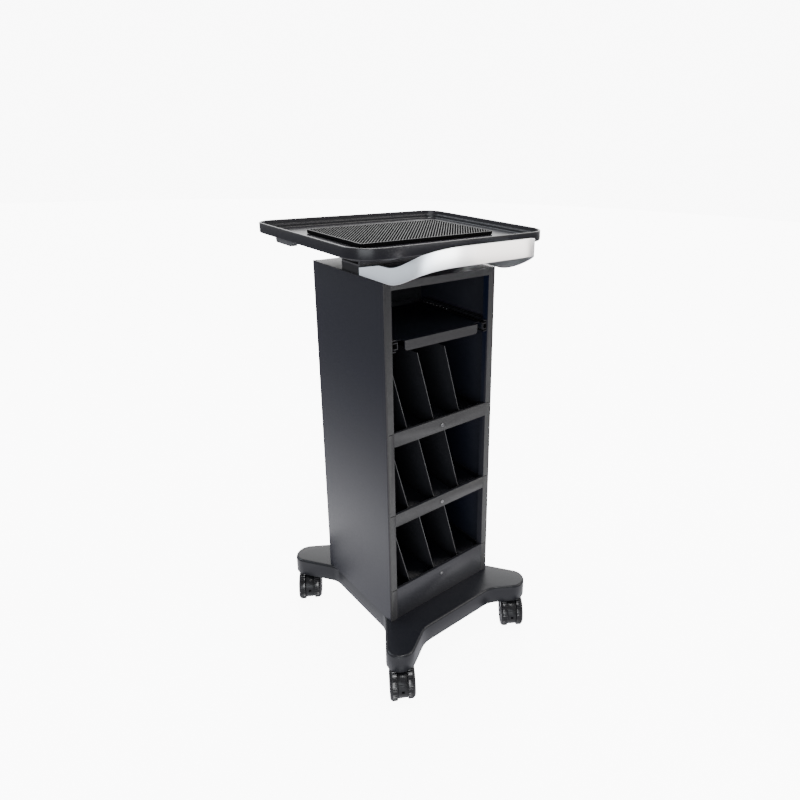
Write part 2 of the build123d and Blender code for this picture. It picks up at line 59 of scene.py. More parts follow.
FOCAL_PX, FRAME_PX, SENSOR = 624.5, 800.0, 36.0
CAMERA_AT = Vector((-0.6718, -0.9399, 1.0161))
AZIMUTH, ELEVATION, ROLL = -44.13, 18.13, 2.18
AXIS_U, AXIS_V = 503.0, 340.6
CLIP_NEAR, CLIP_FAR = 0.05, 50
FLOOR_REACH, DOME_COLUMNS, DOME_ROWS = 9.0, 48, 24
WHITE, WHITE_PAINT = 9.0, 0.9
SWEEP_DIRECTION, SWEEP_FADE = (0.69, 0.70, 0.18), (0.55, 0.93)
SKY_DIM, SKY_BRIGHT, SKY_POWER = 0.12, 1.0, 3.8

# Light that the floor throws back: power, reach, and colour by share of the reach.
BOUNCE, BOUNCE_REACH, BOUNCE_Z = 2.1, 2.5, -0.5 * MM
BOUNCE_TONES = (
    (0.0, (0.38, 0.38, 0.41)), (0.12, (0.48, 0.48, 0.51)), (0.18, (0.97, 0.97, 1.0)),
    (0.26, (0.60, 0.60, 0.63)), (0.40, (0.28, 0.28, 0.30)), (0.64, (0.10, 0.10, 0.115)),
    (1.0, (0.06, 0.06, 0.07)))

# Lamps: name, place, target, width and height, watts, colour, and the only pieces they light.
LAMPS = (
    ("left_high", (-1.9, 1.9, 2.3), (0, 0, 0.7), (1.8, 1.4), 42, (0.86, 0.93, 1.0), None),
    ("right_high", (1.9, -1.9, 2.3), (0, 0, 0.7), (1.8, 1.4), 38, (1.0, 0.96, 0.92), None),
    ("top_soft", (-0.2, -0.5, 2.7), (0, 0, 0.4), (0.7, 0.7), 30, (1, 1, 1), None),
    ("front_card", (-2.1, -2.1, 0.9), (0, 0, 0.6), (2.6, 1.5), 40, (0.92, 0.96, 1.0), None),
    ("curve_card", (-2.5, -0.6, 0.4), (-0.1, -0.2, 0.8), (0.9, 1.4), 30, (0.80, 0.91, 1.0),
     "handle"),
    ("bow_card", (-2.0, -2.2, 0.9), (0, 0, 0.8), (2.8, 1.5), 95, (0.97, 0.97, 0.97), "handle"),
    ("middle_card", (-0.1, -2.9, 0.9), (0, 0, 0.8), (2.4, 1.5), 44, (1.0, 0.98, 0.96), "handle"),
    ("left_card", (-1.6, 1.6, 0.6), (0, -0.1, 0.8), (2.4, 1.6), 10, (0.76, 0.89, 1.0), "handle"),
    ("right_card", (1.6, -1.7, 0.6), (0, -0.1, 0.8), (2.4, 1.6), 44, (1.0, 0.93, 0.87),
     "handle"),
    ("tread_light", (-1.2, -1.7, 1.0), (0, 0, 0), (0.4, 1.3), 28, (1, 1, 1), "wheels"),
)
UNSHADED = "left_card"  # reaches the handle's inner side as if the cabinet's roof let it past


def add_camera():
    """Camera at the photograph's place, with its optical axis off the middle of the frame."""
    turn, lift, roll = (math.radians(v) for v in (AZIMUTH, ELEVATION, ROLL))
    look = Vector((-math.sin(turn) * math.cos(lift), math.cos(turn) * math.cos(lift),
                   -math.sin(lift)))
    level = look.cross(Vector((0, 0, 1))).normalized()
    above = level.cross(look)
    right = math.cos(roll) * level + math.sin(roll) * above
    up = right.cross(look)
    data = bpy.data.cameras.new("camera")
    data.sensor_width = SENSOR
    data.lens = SENSOR * FOCAL_PX / FRAME_PX
    data.shift_x = (FRAME_PX / 2 - AXIS_U) / FRAME_PX
    data.shift_y = (AXIS_V - FRAME_PX / 2) / FRAME_PX
    data.clip_start, data.clip_end = CLIP_NEAR, CLIP_FAR
    camera = bpy.data.objects.new("camera", data)
    axes = Matrix((right, up, -look)).transposed().to_4x4()
    camera.matrix_world = Matrix.Translation(CAMERA_AT) @ axes
    bpy.context.collection.objects.link(camera)
    bpy.context.scene.camera = camera


def add_area(name, place, target, size, power, tint, only):
    """Area lamp aimed at a point; only lists the pieces that it lights, if not all."""
    data = bpy.data.lights.new(name, "AREA")
    data.shape, data.size, data.size_y = "RECTANGLE", size[0], size[1]
    data.energy, data.color = power, tint
    light = bpy.data.objects.new(name, data)
    light.visible_camera = False
    light.location = place
    aim = Vector(target) - Vector(place)
    light.rotation_euler = aim.to_track_quat("-Z", "Y").to_euler()
    bpy.context.collection.objects.link(light)
    if only:
        lit = bpy.data.collections.new(name + "_lights")
        for piece in only:
            lit.objects.link(piece)
        light.light_linking.receiver_collection = lit
        if name == UNSHADED:
            light.light_linking.blocker_collection = lit


def add_sky():
    """Soft surroundings, brighter low down behind the trolley where the white sweep stands."""
    world = bpy.data.worlds.new("studio")
    world.use_nodes = True
    tree = world.node_tree
    place = tree.nodes.new("ShaderNodeTexCoord")
    facing = tree.nodes.new("ShaderNodeVectorMath")
    facing.operation = "DOT_PRODUCT"
    facing.inputs[1].default_value = SWEEP_DIRECTION
    tree.links.new(place.outputs["Generated"], facing.inputs[0])
    glow = ramp(tree, facing.outputs["Value"], (0.0, SKY_DIM), (SWEEP_FADE[0], SKY_DIM),
                (SWEEP_FADE[1], SKY_BRIGHT), (1.0, SKY_BRIGHT))
    tree.links.new(glow, tree.nodes["Background"].inputs["Color"])
    tree.nodes["Background"].inputs["Strength"].default_value = SKY_POWER
    bpy.context.scene.world = world


def add_stage(name, mesh, material, seen, lights):
    """Floor or backdrop; seen by the camera, or by the light that the object gets back."""
    mesh.materials.append(material)
    piece = bpy.data.objects.new(name, mesh)
    bpy.context.collection.objects.link(piece)
    piece.visible_camera = seen
    piece.visible_diffuse = piece.visible_glossy = lights
    piece.visible_shadow = False


def floor_mesh(name, z):
    mesh = bpy.data.meshes.new(name)
    reach = FLOOR_REACH
    mesh.from_pydata([(-reach, -reach, z), (reach, -reach, z), (reach, reach, z),
                      (-reach, reach, z)], [], [(0, 1, 2, 3)])
    return mesh


def dome_mesh(name):
    work = bmesh.new()
    bmesh.ops.create_uvsphere(work, u_segments=DOME_COLUMNS, v_segments=DOME_ROWS,
                              radius=FLOOR_REACH)
    mesh = bpy.data.meshes.new(name)
    work.to_mesh(mesh)
    work.free()
    return mesh


def add_studio(handle, wheels):
    """White sweep, the light it throws back, and soft lamps."""
    add_sky()
    pieces = {None: [], "handle": [handle], "wheels": wheels}
    for *lamp, only in LAMPS:
        add_area(*lamp, pieces[only])
    add_stage("floor", floor_mesh("floor", 0), floor_material(), True, False)
    add_stage("backdrop", dome_mesh("backdrop"), glowing("studio_backdrop", WHITE), True, False)
    add_stage("floor_bounce", floor_mesh("floor_bounce", BOUNCE_Z), bounce_material(), False, True)


# ---------------------------------------------------------------- materials

# Noise patterns: scale, detail, roughness; the second varies the painted edge highlight.
TONE_CLOUDS, HIGHLIGHT_CLOUDS, GLOSS_SPECKS = (3.0, 8.0, 0.6), (60.0, 3.0), (260.0, 8.0, 0.7)
GRAIN_SHAPE, SCRATCHES = (2.0, 0.6), (1.0, 6.0, 0.7)
GRAIN_BUMP, SCRATCH_BUMP = 0.35, 0.25
# Darker end of the painted edge highlight, as a share of its colour.
HIGHLIGHT_DARK = 0.8
EDGE_FADE = (0.53, 0.60)
FLOOR_CLOUDS, FLOOR_TONES = 2.0, (0.93, 0.95)


def new_material(name):
    material = bpy.data.materials.new(name)
    material.use_nodes = True
    tree = material.node_tree
    return material, tree, tree.nodes["Principled BSDF"]


def add_node(tree, kind, **inputs):
    made = tree.nodes.new(kind)
    for key, value in inputs.items():
        made.inputs[key].default_value = value
    return made


def noise(tree, scale, detail=4.0, rough=0.5, stretch=(1, 1, 1), coords="Object"):
    """Noise over the object's own coordinates in metres, or over its UV map."""
    place = tree.nodes.new("ShaderNodeTexCoord")
    mapping = add_node(tree, "ShaderNodeMapping", Scale=stretch)
    made = add_node(tree, "ShaderNodeTexNoise", Scale=scale, Detail=detail, Roughness=rough)
    tree.links.new(place.outputs[coords], mapping.inputs["Vector"])
    tree.links.new(mapping.outputs["Vector"], made.inputs["Vector"])
    return made.outputs["Fac"]


def ramp(tree, fac, *stops):
    """Colour ramp from (position, colour or grey) stops."""
    made = tree.nodes.new("ShaderNodeValToRGB")
    points = made.color_ramp.elements
    while len(points) < len(stops):
        points.new(0.5)
    for point, (at, tone) in zip(points, stops):
        point.position = at
        point.color = (*tone, 1) if isinstance(tone, tuple) else (tone, tone, tone, 1)
    tree.links.new(fac, made.inputs["Fac"])
    return made.outputs["Color"]


def mix(tree, fac, first, second):
    made = tree.nodes.new("ShaderNodeMix")
    made.data_type = "RGBA"
    for value, socket in ((fac, "Factor"), (first, "A"), (second, "B")):
        slot = [s for s in made.inputs if s.name == socket and s.enabled][0]
        tree.links.new(value, slot)
    return [s for s in made.outputs if s.enabled][0]


def bump(tree, height, strength, distance):
    made = add_node(tree, "ShaderNodeBump", Strength=strength, Distance=distance)
    tree.links.new(height, made.inputs["Height"])
    return made.outputs["Normal"]


def edge_highlight_mask(tree):
    """Mask for the painted edge highlight: 1 on convex edges, 0 elsewhere."""
    geometry = tree.nodes.new("ShaderNodeNewGeometry")
    return ramp(tree, geometry.outputs["Pointiness"], (EDGE_FADE[0], 0.0), (EDGE_FADE[1], 1.0))


def coated(name, dark, light, rough, grain=900.0, depth=0.12 * MM, edge_highlight=None, specular=0.5):
    """Painted or moulded surface: two near tones, fine grain, paler edges as a painted highlight."""
    material, tree, shader = new_material(name)
    base = ramp(tree, noise(tree, *TONE_CLOUDS), (0.35, dark), (0.65, light))
    # Paler convex edges: a painted highlight.
    if edge_highlight:
        highlight_tone = ramp(tree, noise(tree, *HIGHLIGHT_CLOUDS), (0.2, edge_highlight),
                    (0.8, tuple(HIGHLIGHT_DARK * c for c in edge_highlight)))
        base = mix(tree, edge_highlight_mask(tree), base, highlight_tone)
    tree.links.new(base, shader.inputs["Base Color"])
    tree.links.new(ramp(tree, noise(tree, *GLOSS_SPECKS), (0.3, rough[0]), (0.7, rough[1])),
                   shader.inputs["Roughness"])
    tree.links.new(bump(tree, noise(tree, grain, *GRAIN_SHAPE), GRAIN_BUMP, depth),
                   shader.inputs["Normal"])
    shader.inputs["Specular IOR Level"].default_value = specular
    return material


def brushed(name, dark, light, rough, stretch, depth=0.05 * MM, coords="Object"):
    """Metal with long fine scratches; stretch gives the scratch direction."""
    material, tree, shader = new_material(name)
    streaks = noise(tree, *SCRATCHES, stretch, coords)
    tree.links.new(ramp(tree, streaks, (0.3, dark), (0.7, light)), shader.inputs["Base Color"])
    tree.links.new(ramp(tree, streaks, (0.2, rough[0]), (0.8, rough[1])),
                   shader.inputs["Roughness"])
    tree.links.new(bump(tree, streaks, SCRATCH_BUMP, depth), shader.inputs["Normal"])
    shader.inputs["Metallic"].default_value = 1.0
    return material


def glowing(name, power):
    """White surface that shines by itself and isn't sampled as a lamp."""
    material, tree, shader = new_material(name)
    material.cycles.emission_sampling = "NONE"
    shader.inputs["Base Color"].default_value = (WHITE_PAINT,) * 3 + (1,)
    shader.inputs["Emission Color"].default_value = (1, 1, 1, 1)
    shader.inputs["Emission Strength"].default_value = power
    return material


def floor_material():
    """White floor, lit through from below so that it melts into the backdrop."""
    material = glowing("studio_floor", WHITE)
    tree = material.node_tree
    tree.links.new(ramp(tree, noise(tree, FLOOR_CLOUDS), (0.3, FLOOR_TONES[0]),
                        (0.7, FLOOR_TONES[1])),
                   tree.nodes["Principled BSDF"].inputs["Base Color"])
    return material


def bounce_material():
    """Light thrown back by the floor: strong round the trolley, weak further out."""
    material, tree, shader = new_material("studio_bounce")
    place = tree.nodes.new("ShaderNodeTexCoord")
    shrink = add_node(tree, "ShaderNodeMapping", Scale=(1 / BOUNCE_REACH,) * 3)
    size = tree.nodes.new("ShaderNodeVectorMath")
    size.operation = "LENGTH"
    tree.links.new(place.outputs["Object"], shrink.inputs["Vector"])
    tree.links.new(shrink.outputs["Vector"], size.inputs[0])
    shader.inputs["Base Color"].default_value = (0, 0, 0, 1)
    tree.links.new(ramp(tree, size.outputs["Value"], *BOUNCE_TONES),
                   shader.inputs["Emission Color"])
    shader.inputs["Emission Strength"].default_value = BOUNCE
    return material


def make_materials():
    """One material for each record slot, and a few for faces that differ within a piece."""
    return {
        # The paler edge tones given to coated() are painted highlights.
        "cabinet_grey": coated(
            "powder_coat_grey", (0.0115, 0.0120, 0.0190), (0.0130, 0.0135, 0.0210),
            (0.37, 0.41), edge_highlight=(0.05, 0.05, 0.055)),
        # Front faces: a lighter copy of the cabinet grey, painted light.
        "front_painted_light": coated(
            "grey_front_painted_light", (0.046, 0.045, 0.047), (0.050, 0.049, 0.051),
            (0.42, 0.47), edge_highlight=(0.09, 0.09, 0.09), specular=0.25),
        # Inside faces of the side panels: painted shade with a navy tint.
        "inside_painted_shade": coated(
            "navy_painted_shade", (0.0060, 0.0100, 0.0260), (0.0068, 0.0112, 0.0290),
            (0.42, 0.48), edge_highlight=(0.04, 0.04, 0.05), specular=0.22),
        # Near-black: partly black paint, partly painted shade on the faces inside the cabinet.
        "inner_black": coated(
            "black_paint_and_painted_shade", (0.0060, 0.0070, 0.0120), (0.0066, 0.0077, 0.0130),
            (0.42, 0.48), edge_highlight=(0.03, 0.03, 0.033), specular=0.3),
        # Front faces of the dividers: a painted highlight in light grey.
        "divider_front_highlight": coated(
            "divider_painted_highlight", (0.12, 0.12, 0.125), (0.16, 0.16, 0.165), (0.35, 0.5)),
        "base_grey": coated(
            "moulded_base", (0.0095, 0.0100, 0.0135), (0.0110, 0.0115, 0.0150),
            (0.28, 0.33), 1400.0, 0.12 * MM, (0.06, 0.06, 0.063), 0.37),
        "tray_plastic": coated(
            "moulded_tray", (0.0120, 0.0120, 0.0155), (0.0140, 0.0140, 0.0175),
            (0.27, 0.31), 1600.0, 0.05 * MM, (0.10, 0.10, 0.105)),
        "mat_rubber": coated(
            "mat_rubber", (0.004, 0.004, 0.0045), (0.006, 0.006, 0.0065),
            (0.20, 0.25), 2200.0, 0.03 * MM, specular=0.01),
        # Grooves between the mat's ribs: darker colour as painted shade.
        "mat_groove": coated(
            "mat_groove", (0.0025, 0.0025, 0.0028), (0.004, 0.004, 0.0044),
            (0.85, 0.95), 2200.0, 0.03 * MM, specular=0.01),
        "handle_alu": brushed(
            "brushed_aluminium", (0.88, 0.88, 0.89), (0.96, 0.96, 0.965),
            (0.30, 0.44), (9.0, 1400.0, 1.0), 0.25 * MM, "UV"),
        "zinc_steel": brushed(
            "zinc_steel", (0.15, 0.15, 0.155), (0.28, 0.28, 0.285), (0.25, 0.4), (900, 40, 900)),
        "ball_steel": brushed(
            "ball_steel", (0.88, 0.88, 0.88), (0.95, 0.95, 0.95),
            (0.28, 0.36), (300, 300, 300), 0.01 * MM),
        "caster_black": coated(
            "caster_nylon", (0.008, 0.008, 0.0095), (0.011, 0.011, 0.0125),
            (0.26, 0.32), 700.0, 0.03 * MM, (0.03, 0.03, 0.033), 0.28),
        "wheel_black": coated(
            "wheel_nylon", (0.006, 0.006, 0.0072), (0.008, 0.008, 0.0095),
            (0.14, 0.18), 700.0, 0.02 * MM, (0.03, 0.03, 0.033), 0.34),
        "screw_black": brushed(
            "screw_steel", (0.24, 0.24, 0.245), (0.34, 0.34, 0.345),
            (0.3, 0.42), (400, 400, 400)),
    }


MATERIALS = make_materials()


# ---------------------------------------------------------------- shape helpers

# Welding distance, and angles in degrees: flat enough to merge, sharp enough to roll over.
WELD, FLAT_ANGLE, SHARP_ANGLE = 1e-6, 0.5, 30
# Edges up to these angles are shaded smooth, on plates and on rounder shapes.
PLATE_ANGLE, ROUND_ANGLE = 35, 40


def adopt(piece, *nodes):
    """Let a piece stand for CAD nodes: same body, and the nodes hidden."""
    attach(piece, BODY_OF[nodes[0]])
    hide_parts(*nodes)


def new_piece(name, verts, faces, material, smooth_angle=PLATE_ANGLE, uvs=None):
    """Mesh object from points and faces; uvs gives one (u, v) for each point."""
    mesh = bpy.data.meshes.new(name)
    mesh.from_pydata([tuple(v) for v in verts], [], faces)
    if uvs:
        layer = mesh.uv_layers.new(name="run")
        for loop in mesh.loops:
            layer.data[loop.index].uv = uvs[loop.vertex_index]
    mesh.materials.append(material)
    mesh.polygons.foreach_set("use_smooth", [True] * len(mesh.polygons))
    mesh.set_sharp_from_angle(angle=math.radians(smooth_angle))
    piece = bpy.data.objects.new(name, mesh)
    bpy.context.collection.objects.link(piece)
    return piece


def rounded_path(points, radii, steps=4):
    """Closed 2D outline with each corner turned into an arc of its own radius."""
    path = []
    count = len(points)
    for i, (corner, radius) in enumerate(zip(points, radii)):
        corner = Vector(corner)
        before = (Vector(points[i - 1]) - corner).normalized()
        after = (Vector(points[(i + 1) % count]) - corner).normalized()
        if radius <= 0:
            path.append(corner)
            continue
        half = before.angle(after) / 2
        reach = radius / math.tan(half)
        centre = corner + (before + after).normalized() * radius / math.sin(half)
        start, end = corner + before * reach - centre, corner + after * reach - centre
        for k in range(steps + 1):
            part = k / steps
            sweep = math.pi - 2 * half
            weight = math.sin((1 - part) * sweep), math.sin(part * sweep)
            path.append(centre + (start * weight[0] + end * weight[1]) / math.sin(sweep))
    return path


def rounded_section(rows, steps=4):
    """Rounded outline from (across, up, corner radius in mm) rows."""
    return rounded_path([row[:2] for row in rows], [row[2] * MM for row in rows], steps)


def rounded_rectangle(half_x, half_y, back_corner, front_corner, steps):
    """Plan points of a rectangle with round corners, anticlockwise from the right side."""
    points = []
    for sx, sy, start in ((1, 1, 0), (-1, 1, 90), (-1, -1, 180), (1, -1, 270)):
        corner = back_corner if sy > 0 else front_corner
        for k in range(steps + 1):
            a = math.radians(start + 90 * k / steps)
            points.append((sx * (half_x - corner) + corner * math.cos(a),
                           sy * (half_y - corner) + corner * math.sin(a)))
    return points


def loft(rings, closed=False):
    """Points and faces joining rings of equal length.

    closed joins the last ring to the first; otherwise both ends get a cap.
    """
    size = len(rings[0])
    verts = [point for ring in rings for point in ring]
    faces = []
    for r in range(len(rings) if closed else len(rings) - 1):
        a, b = r * size, (r + 1) % len(rings) * size
        faces += [(a + k, a + (k + 1) % size, b + (k + 1) % size, b + k) for k in range(size)]
    if not closed:
        faces.append(tuple(reversed(range(size))))
        faces.append(tuple(range((len(rings) - 1) * size, len(rings) * size)))
    return verts, faces


def swept_plate(name, path, low, high, corners, least, steps, material):
    """Section of (inset, height) points swept round a box's plan with rounded corners.

    corners gives the back and front radii at the outside; least is the smallest one inside.
    """
    half_x, half_y = (high.x - low.x) / 2, (high.y - low.y) / 2
    mid_x, mid_y = (high.x + low.x) / 2, (high.y + low.y) / 2
    rings = []
    for inset, z in path:
        radii = [max(corner - inset, least) for corner in corners]
        rings.append([(x + mid_x, y + mid_y, z) for x, y in
                      rounded_rectangle(half_x - inset, half_y - inset, *radii, steps)])
    verts, faces = loft(rings)
    return new_piece(name, verts, [tuple(reversed(face)) for face in faces], material)


def softened(name, radius, materials, pick=None, wide=None, segments=2, shortest=0.0):
    """Copy of a CAD node with its sharp edges rolled over, as folded and moulded parts have.

    pick gives a face's material number; wide gives the share of radius that an edge takes.
    Edges up to shortest, such as the facets of a screw hole, stay sharp.
    """
    work = bmesh.new()
    work.from_mesh(frame["nodes"][name].data)
    bmesh.ops.remove_doubles(work, verts=work.verts, dist=WELD)
    bmesh.ops.dissolve_limit(work, angle_limit=math.radians(FLAT_ANGLE), verts=work.verts,
                             edges=work.edges)
    weights = work.edges.layers.float.new("bevel_weight_edge")
    for edge in work.edges:
        turned = edge.calc_face_angle(0.0) > math.radians(SHARP_ANGLE)
        long_enough = edge.calc_length() > shortest
        edge[weights] = (wide(edge) if wide else 1.0) if turned and long_enough else 0.0
        edge.smooth = long_enough or not turned
    for face in work.faces:
        face.smooth = True
        face.material_index = pick(face) if pick else 0
    mesh = bpy.data.meshes.new(name + "_formed")
    work.to_mesh(mesh)
    work.free()
    for material in materials:
        mesh.materials.append(material)
    piece = bpy.data.objects.new(name + "_formed", mesh)
    bpy.context.collection.objects.link(piece)
    bevel = piece.modifiers.new("rolled_edges", "BEVEL")
    bevel.width, bevel.segments = radius, segments
    bevel.limit_method = "WEIGHT"
    bevel.harden_normals = True
    adopt(piece, name)
    return piece


# ---------------------------------------------------------------- tray and mat

BACK_CORNER, FRONT_CORNER, LEAST_CORNER = 32 * MM, 48 * MM, 4 * MM
RIM_T, LEDGE_T, LEDGE_H = 3.6 * MM, 8.5 * MM, 7.5 * MM
SKIRT_INSET, SKIRT_T, FLOOR_T = 14 * MM, 3 * MM, 3 * MM
INWARD, TRAY_STEPS = 60 * MM, 12


def build_tray():
    """Moulded tray as one section swept round its outline: skirt, rim, ledge and floor."""
    low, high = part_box("tray")
    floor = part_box("tray_mat")[0].z
    under, ledge = floor - FLOOR_T, floor + LEDGE_H
    path = rounded_section([
        (SKIRT_INSET + SKIRT_T, under, 0.8), (SKIRT_INSET + SKIRT_T, low.z, 1.0),
        (SKIRT_INSET, low.z, 1.0), (SKIRT_INSET, under, 0.8),
        (0, under, 3.0), (0, high.z, 1.3), (RIM_T, high.z, 1.3), (RIM_T, ledge, 1.0),
        (LEDGE_T, ledge, 1.2), (LEDGE_T, floor, 2.5), (INWARD, floor, 0), (INWARD, under, 0)])
    # The last two points only lead the floor and the underside inward; flat caps close both.
    tray = swept_plate("tray_moulding", path[:-2], low, high, (BACK_CORNER, FRONT_CORNER),
                       LEAST_CORNER, TRAY_STEPS, MATERIALS["tray_plastic"])
    adopt(tray, "tray")


# Ribs: pitch, steepness at the foot and direction in degrees, and strips across one rib.
RIB_PITCH, RIB_EDGE, RIB_ANGLE, RIB_STRIPS = 4.8 * MM, 65, 50.3, 10
CREST_STRIPS, CREST_DROP, FIELD_DROP = (4, 5), 0.2 * MM, 0.3 * MM
MAT_BORDER, MAT_CORNER, MAT_LEAST, MAT_STEPS = 4 * MM, 7 * MM, 2.5 * MM, 6


def build_mat():
    """Rubber mat: a smooth raised border round a field of parallel slanting ribs."""
    low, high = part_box("tray_mat")
    rib_r = RIB_PITCH / 2 / math.sin(math.radians(RIB_EDGE))
    crest = high.z - CREST_DROP
    field_z = crest - rib_r * (1 - math.cos(math.radians(RIB_EDGE)))
    path = rounded_section([(0, low.z, 0.5), (0, high.z, 0.8), (MAT_BORDER, high.z, 0.8),
                            (MAT_BORDER, field_z - FIELD_DROP, 0)])
    border = swept_plate("mat_border", path, low, high, (MAT_CORNER, MAT_CORNER), MAT_LEAST,
                         MAT_STEPS, MATERIALS["mat_rubber"])
    adopt(border, "tray_mat")

    middle = Vector(((low.x + high.x) / 2, (low.y + high.y) / 2, 0))
    in_x = (high.x - low.x) / 2 - MAT_BORDER
    in_y = (high.y - low.y) / 2 - MAT_BORDER
    work = bmesh.new()
    reach = math.hypot(in_x, in_y)
    count = int(reach / RIB_PITCH) + 1
    half = RIB_STRIPS // 2
    profile = [math.radians(RIB_EDGE * k / half) for k in range(-half, half)]
    turn = Matrix.Rotation(math.radians(RIB_ANGLE), 4, "Z")
    rows = []
    for i in range(-count, count + 1):
        for lean in profile:
            offset = i * RIB_PITCH + rib_r * math.sin(lean)
            z = crest - rib_r * (1 - math.cos(lean))
            rows.append([work.verts.new(turn @ Vector((s * reach, offset, z)) + middle)
                         for s in (-1, 1)])
    for k, (first, second) in enumerate(zip(rows, rows[1:])):
        face = work.faces.new((first[0], first[1], second[1], second[0]))
        face.smooth = True
        # Strips off the crest take the groove material, whose darker colour is painted shade.
        face.material_index = 0 if k % RIB_STRIPS in CREST_STRIPS else 1
    for axis, limit in ((0, in_x), (1, in_y)):
        for side in (-1, 1):
            normal = Vector((0, 0, 0))
            normal[axis] = side
            bmesh.ops.bisect_plane(work, geom=[*work.verts, *work.edges, *work.faces],
                                   plane_co=middle + normal * limit, plane_no=normal,
                                   clear_outer=True)
    mesh = bpy.data.meshes.new("mat_ribs")
    work.to_mesh(mesh)
    work.free()
    mesh.materials.append(MATERIALS["mat_rubber"])
    mesh.materials.append(MATERIALS["mat_groove"])
    mesh.set_sharp_from_angle(angle=math.radians(ROUND_ANGLE))
    ribs = bpy.data.objects.new("mat_ribs", mesh)
    bpy.context.collection.objects.link(ribs)
    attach(ribs, BODY_OF["tray_mat"])


# ---------------------------------------------------------------- handle

BAR_T, BAR_H, BOW_CORNER, BAR_EDGE = 3 * MM, 30.6 * MM, 83 * MM, 0.7 * MM
RISE_Z, RISE_START, RISE_RUN = 48.9 * MM, 87.5 * MM, 152.2 * MM
EAR_LENGTH, EAR_BEND = 28 * MM, 4.5 * MM
BEND_STEPS, LONGEST_STEP, EDGE_STEPS = 20, 4 * MM, 3

# Distance in front of the beam and height of the band there, both in mm.
LEG_HEIGHTS = ((0.0, 12.5), (66.0, 27.5), (108.0, 28.6), (140.0, 29.6), (173.0, 30.6),
               (400.0, 30.6))


def leg_height(ahead):
    """Height of the band at a distance in front of the beam, read off the list above."""
    for (near, low), (far, high) in zip(LEG_HEIGHTS, LEG_HEIGHTS[1:]):
        if ahead <= far * MM:
            part = max(ahead / MM - near, 0) / (far - near)
            return (low + (high - low) * part) * MM
    return BAR_H


def build_handle():
    """Bow bent from flat bar: ear, level leg, smooth rise round the front, leg and ear."""
    low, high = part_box("handle")
    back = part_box("pedestal_beam")[0].y
    half = high.x - BAR_T / 2
    front = low.y + BAR_T / 2
    ear_y = back - BAR_T / 2
    ear_x = high.x - EAR_LENGTH
    corners = [(-ear_x, ear_y), (-half, ear_y), (-half, front), (half, front), (half, ear_y),
               (ear_x, ear_y)]
    radii = [0, EAR_BEND, BOW_CORNER - BAR_T / 2, BOW_CORNER - BAR_T / 2, EAR_BEND, 0]
    coarse = rounded_path(corners, radii, BEND_STEPS)
    path = [coarse[0]]
    for point in coarse[1:]:
        pieces = max(1, round((point - path[-1]).length / LONGEST_STEP))
        start = path[-1]
        path += [start.lerp(point, (k + 1) / pieces) for k in range(pieces)]
    rings, uvs, run = [], [], 0.0
    for i, point in enumerate(path):
        ahead = path[min(i + 1, len(path) - 1)] - path[max(i - 1, 0)]
        side = Vector((ahead.y, -ahead.x)).normalized()
        if i:
            run += (point - path[i - 1]).length
        past = min(max((back - RISE_START - point.y) / RISE_RUN, 0), 1)
        base = low.z + RISE_Z * past * past * (3 - 2 * past)
        tall = leg_height(back - point.y)
        outline = rounded_path([(-BAR_T / 2, 0), (BAR_T / 2, 0), (BAR_T / 2, tall),
                                (-BAR_T / 2, tall)], [BAR_EDGE] * 4, EDGE_STEPS)
        rings.append([(point.x + side.x * w, point.y + side.y * w, base + h)
                      for w, h in outline])
        uvs += [(run, h + w) for w, h in outline]
    verts, faces = loft(rings)
    handle = new_piece("handle_bow", verts, faces, MATERIALS["handle_alu"], ROUND_ANGLE, uvs)
    adopt(handle, "handle")
    return handle


# ---------------------------------------------------------------- casters

WHEEL_IN, WHEEL_W, DISH, HUB_STEPS = 9.4 * MM, 14.2 * MM, 1.9 * MM, 3
TREAD_RIBS, STEPS_PER_RIB, RIB_DEPTH = 44, 6, 0.7 * MM
TREAD_FROM, TREAD_SHOULDERS = 28.2 * MM, (0.5 * MM, 0.6 * MM)
HOOD_EDGE = 0.25 * MM


def build_wheel(node, axle, centre, side):
    """Wheel with cross ribs moulded round its tread, a dished face and a hub cap."""
    inner, outer = WHEEL_IN, WHEEL_IN + WHEEL_W
    dish = outer - DISH
    path = rounded_section([(radius * MM, width, corner) for radius, width, corner in (
        (5, inner + 0.6 * MM, 0.2), (13, inner + 0.6 * MM, 0.6), (13.8, inner, 0.4),
        (29.8, inner, 0.8), (31.0, inner + 1.2 * MM, 0.8), (31.0, outer - 4.0 * MM, 2.4),
        (27.0, outer, 1.6), (24.0, outer, 0.8), (22.0, dish, 1.0), (9.0, dish, 0.6),
        (8.0, outer - 0.2 * MM, 0.8), (3.0, outer, 0.8))], HUB_STEPS)
    tread_in, tread_out = inner + TREAD_SHOULDERS[0], outer - TREAD_SHOULDERS[1]
    across = Vector((0, 0, 1)).cross(axle).normalized()
    spokes = TREAD_RIBS * STEPS_PER_RIB
    rings = []
    for k in range(spokes):
        a = 2 * math.pi * k / spokes
        out = across * math.cos(a) + Vector((0, 0, 1)) * math.sin(a)
        groove = RIB_DEPTH if k % STEPS_PER_RIB >= STEPS_PER_RIB / 2 else 0
        ring = []
        for radius, width in path:
            tread = radius > TREAD_FROM and tread_in < width < tread_out
            ring.append(centre + out * (radius - groove * tread) + axle * side * width)
        rings.append(ring)
    verts, faces = loft(rings, closed=True)
    wheel = new_piece(node + "_ribbed", verts, faces, MATERIALS["wheel_black"], ROUND_ANGLE)
    flip_outward(wheel)
    adopt(wheel, node)
    return wheel


def flip_outward(piece):
    """Turn every face of a closed piece to the outside."""
    work = bmesh.new()
    work.from_mesh(piece.data)
    bmesh.ops.recalc_face_normals(work, faces=work.faces)
    work.to_mesh(piece.data)
    work.free()


